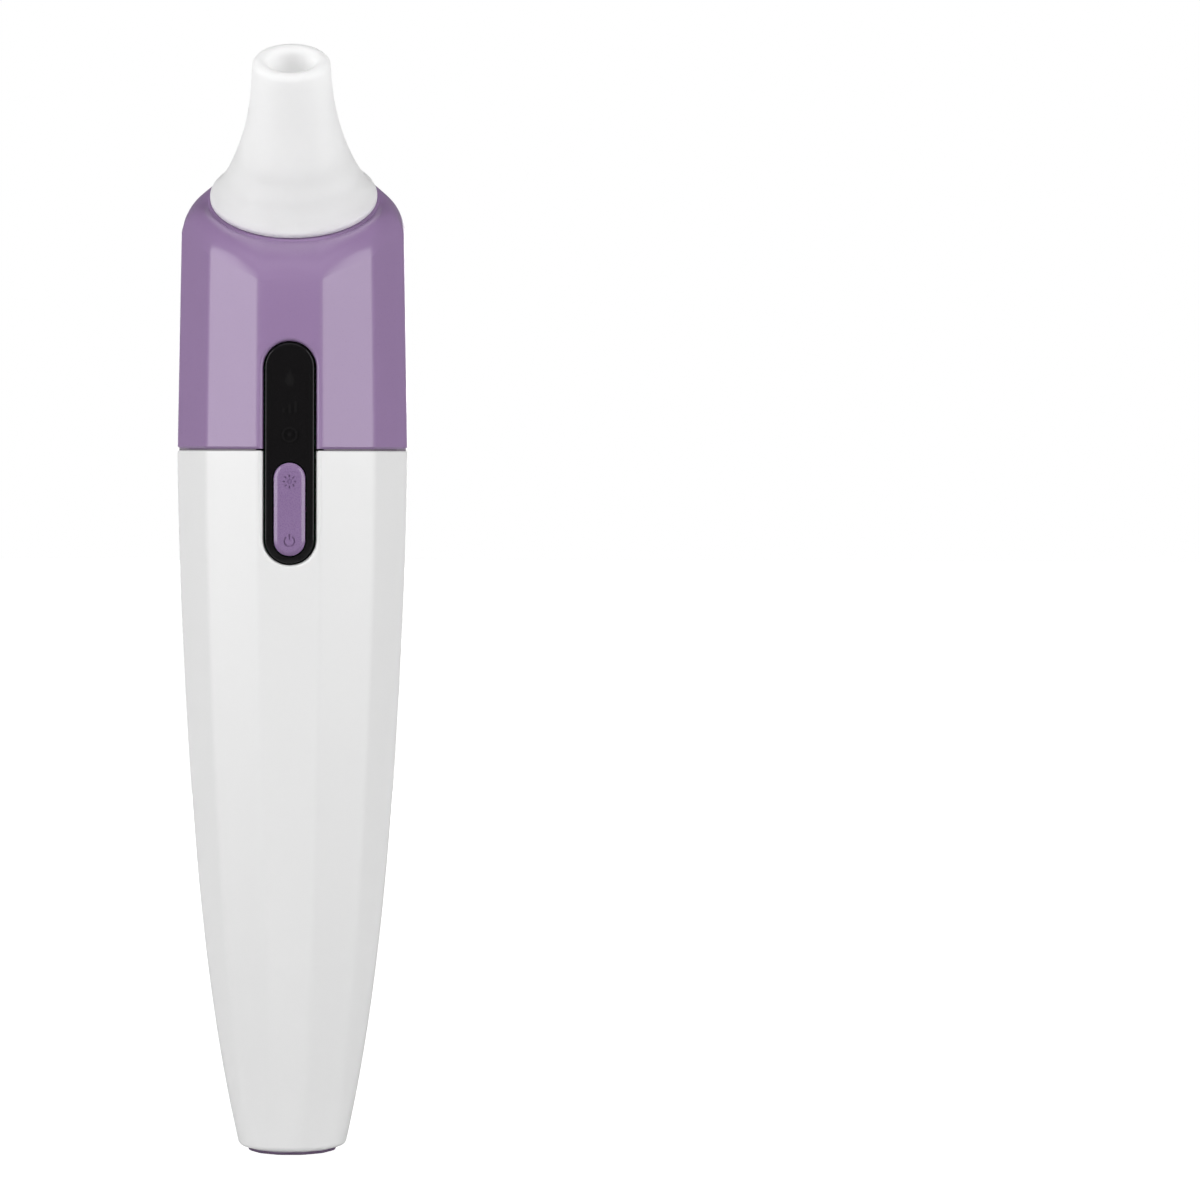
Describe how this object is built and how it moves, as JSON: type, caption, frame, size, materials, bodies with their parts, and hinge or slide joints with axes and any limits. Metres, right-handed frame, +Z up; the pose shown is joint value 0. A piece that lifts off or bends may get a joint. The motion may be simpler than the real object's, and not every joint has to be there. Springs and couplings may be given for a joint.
{
  "type": "blackhead vacuum extractor",
  "caption": "Upright faceted hand-held pore vacuum with a slanted trumpet suction probe, a long window with a rocker, and a tapering handle on a flat foot.",
  "frame": {"origin": "centre of the foot's flat underside", "axes": "+Z up the column, -Y towards the window and rocker, +X to the right seen from the window side"},
  "size_m": [0.0388, 0.0392, 0.1873],
  "materials": {
    "purple_plastic": "satin moulded ABS",
    "white_plastic": "satin moulded ABS",
    "silicone": "matte white silicone",
    "window_black": "polished",
    "black_plastic": "fine texture",
    "seal_rubber": "matte",
    "filter_foam": "open-cell foam",
    "clear_plastic": "clear",
    "circuit_board": "solder mask",
    "lamp": "moulded lamp body",
    "steel": "nickel plated",
    "cell_wrap": "shrink wrap",
    "lead_red": "wire insulation",
    "lead_black": "wire insulation"
  },
  "bodies": {
    "body": {"head_housing": "purple_plastic", "bottom_cap": "purple_plastic", "handle_shell": "white_plastic", "filter_socket": "white_plastic", "chassis": "white_plastic", "valve_plate": "white_plastic", "suction_hose": "silicone", "display_lens": "window_black", "coupling_ring": "black_plastic", "lens_frame": "black_plastic", "switch_lower": "black_plastic", "switch_upper": "black_plastic", "control_chip": "black_plastic", "charge_chip": "black_plastic", "pump_housing": "black_plastic", "pump_cover": "black_plastic", "motor_end_cap": "black_plastic", "usb_c_tongue": "black_plastic", "probe_seal_ring": "seal_rubber", "motor_damper": "seal_rubber", "light_guide": "clear_plastic", "main_pcb": "circuit_board", "led_board": "circuit_board", "charge_board": "circuit_board", "head_led_1": "lamp", "head_led_2": "lamp", "head_led_3": "lamp", "head_led_4": "lamp", "icon_led_1": "lamp", "icon_led_2": "lamp", "icon_led_3": "lamp", "motor_can": "steel", "socket_screw_1": "steel", "socket_screw_2": "steel", "socket_screw_3": "steel", "cell_tab_bottom": "steel", "cell_tab_top": "steel", "usb_c_shell": "steel", "battery_cell": "cell_wrap", "lead_cell_positive": "lead_red", "lead_motor_red": "lead_red", "lead_cell_negative": "lead_black", "lead_motor_black": "lead_black"},
    "probe": {"suction_probe": "silicone"},
    "filter": {"foam_filter_ring": "filter_foam"},
    "rocker": {"rocker_button": "purple_plastic"},
    "plunger_upper": {"plunger_upper": "steel"},
    "plunger_lower": {"plunger_lower": "steel"},
    "rotor": {"motor_shaft": "steel"},
    "diaphragm": {"diaphragm_carrier": "seal_rubber"}
  },
  "joints": [
    {"name": "probe_pull", "type": "slide", "parent": "body", "child": "probe", "axis": [0, -0.5255, 0.8508], "range_m": [0, 0.045]},
    {"name": "filter_lift", "type": "slide", "parent": "body", "child": "filter", "axis": [0, -0.5255, 0.8508], "range_m": [0, 0.018]},
    {"name": "rocker_tilt", "type": "hinge", "parent": "body", "child": "rocker", "pos_m": [0, -0.0153, 0.1095], "axis": [1, 0, 0], "range_deg": [-3, 3], "stiffness_Nm_per_rad": 0.15},
    {"name": "switch_press_upper", "type": "slide", "parent": "body", "child": "plunger_upper", "axis": [0, 1, 0], "range_m": [0, 0.00025], "stiffness_N_per_m": 1500},
    {"name": "switch_press_lower", "type": "slide", "parent": "body", "child": "plunger_lower", "axis": [0, 1, 0], "range_m": [0, 0.00025], "stiffness_N_per_m": 1500},
    {"name": "motor_spin", "type": "hinge", "parent": "body", "child": "rotor", "pos_m": [0, 0.0015, 0.1095], "axis": [0, 0, 1], "continuous": true},
    {"name": "diaphragm_tilt", "type": "hinge", "parent": "body", "child": "diaphragm", "pos_m": [0, 0.0015, 0.1202], "axis": [1, 0, 0], "range_deg": [-4, 4], "stiffness_Nm_per_rad": 0.02}
  ],
  "couplings": [
    {"joint": "filter_lift", "follows": "probe_pull", "ratio": 0.4}
  ]
}
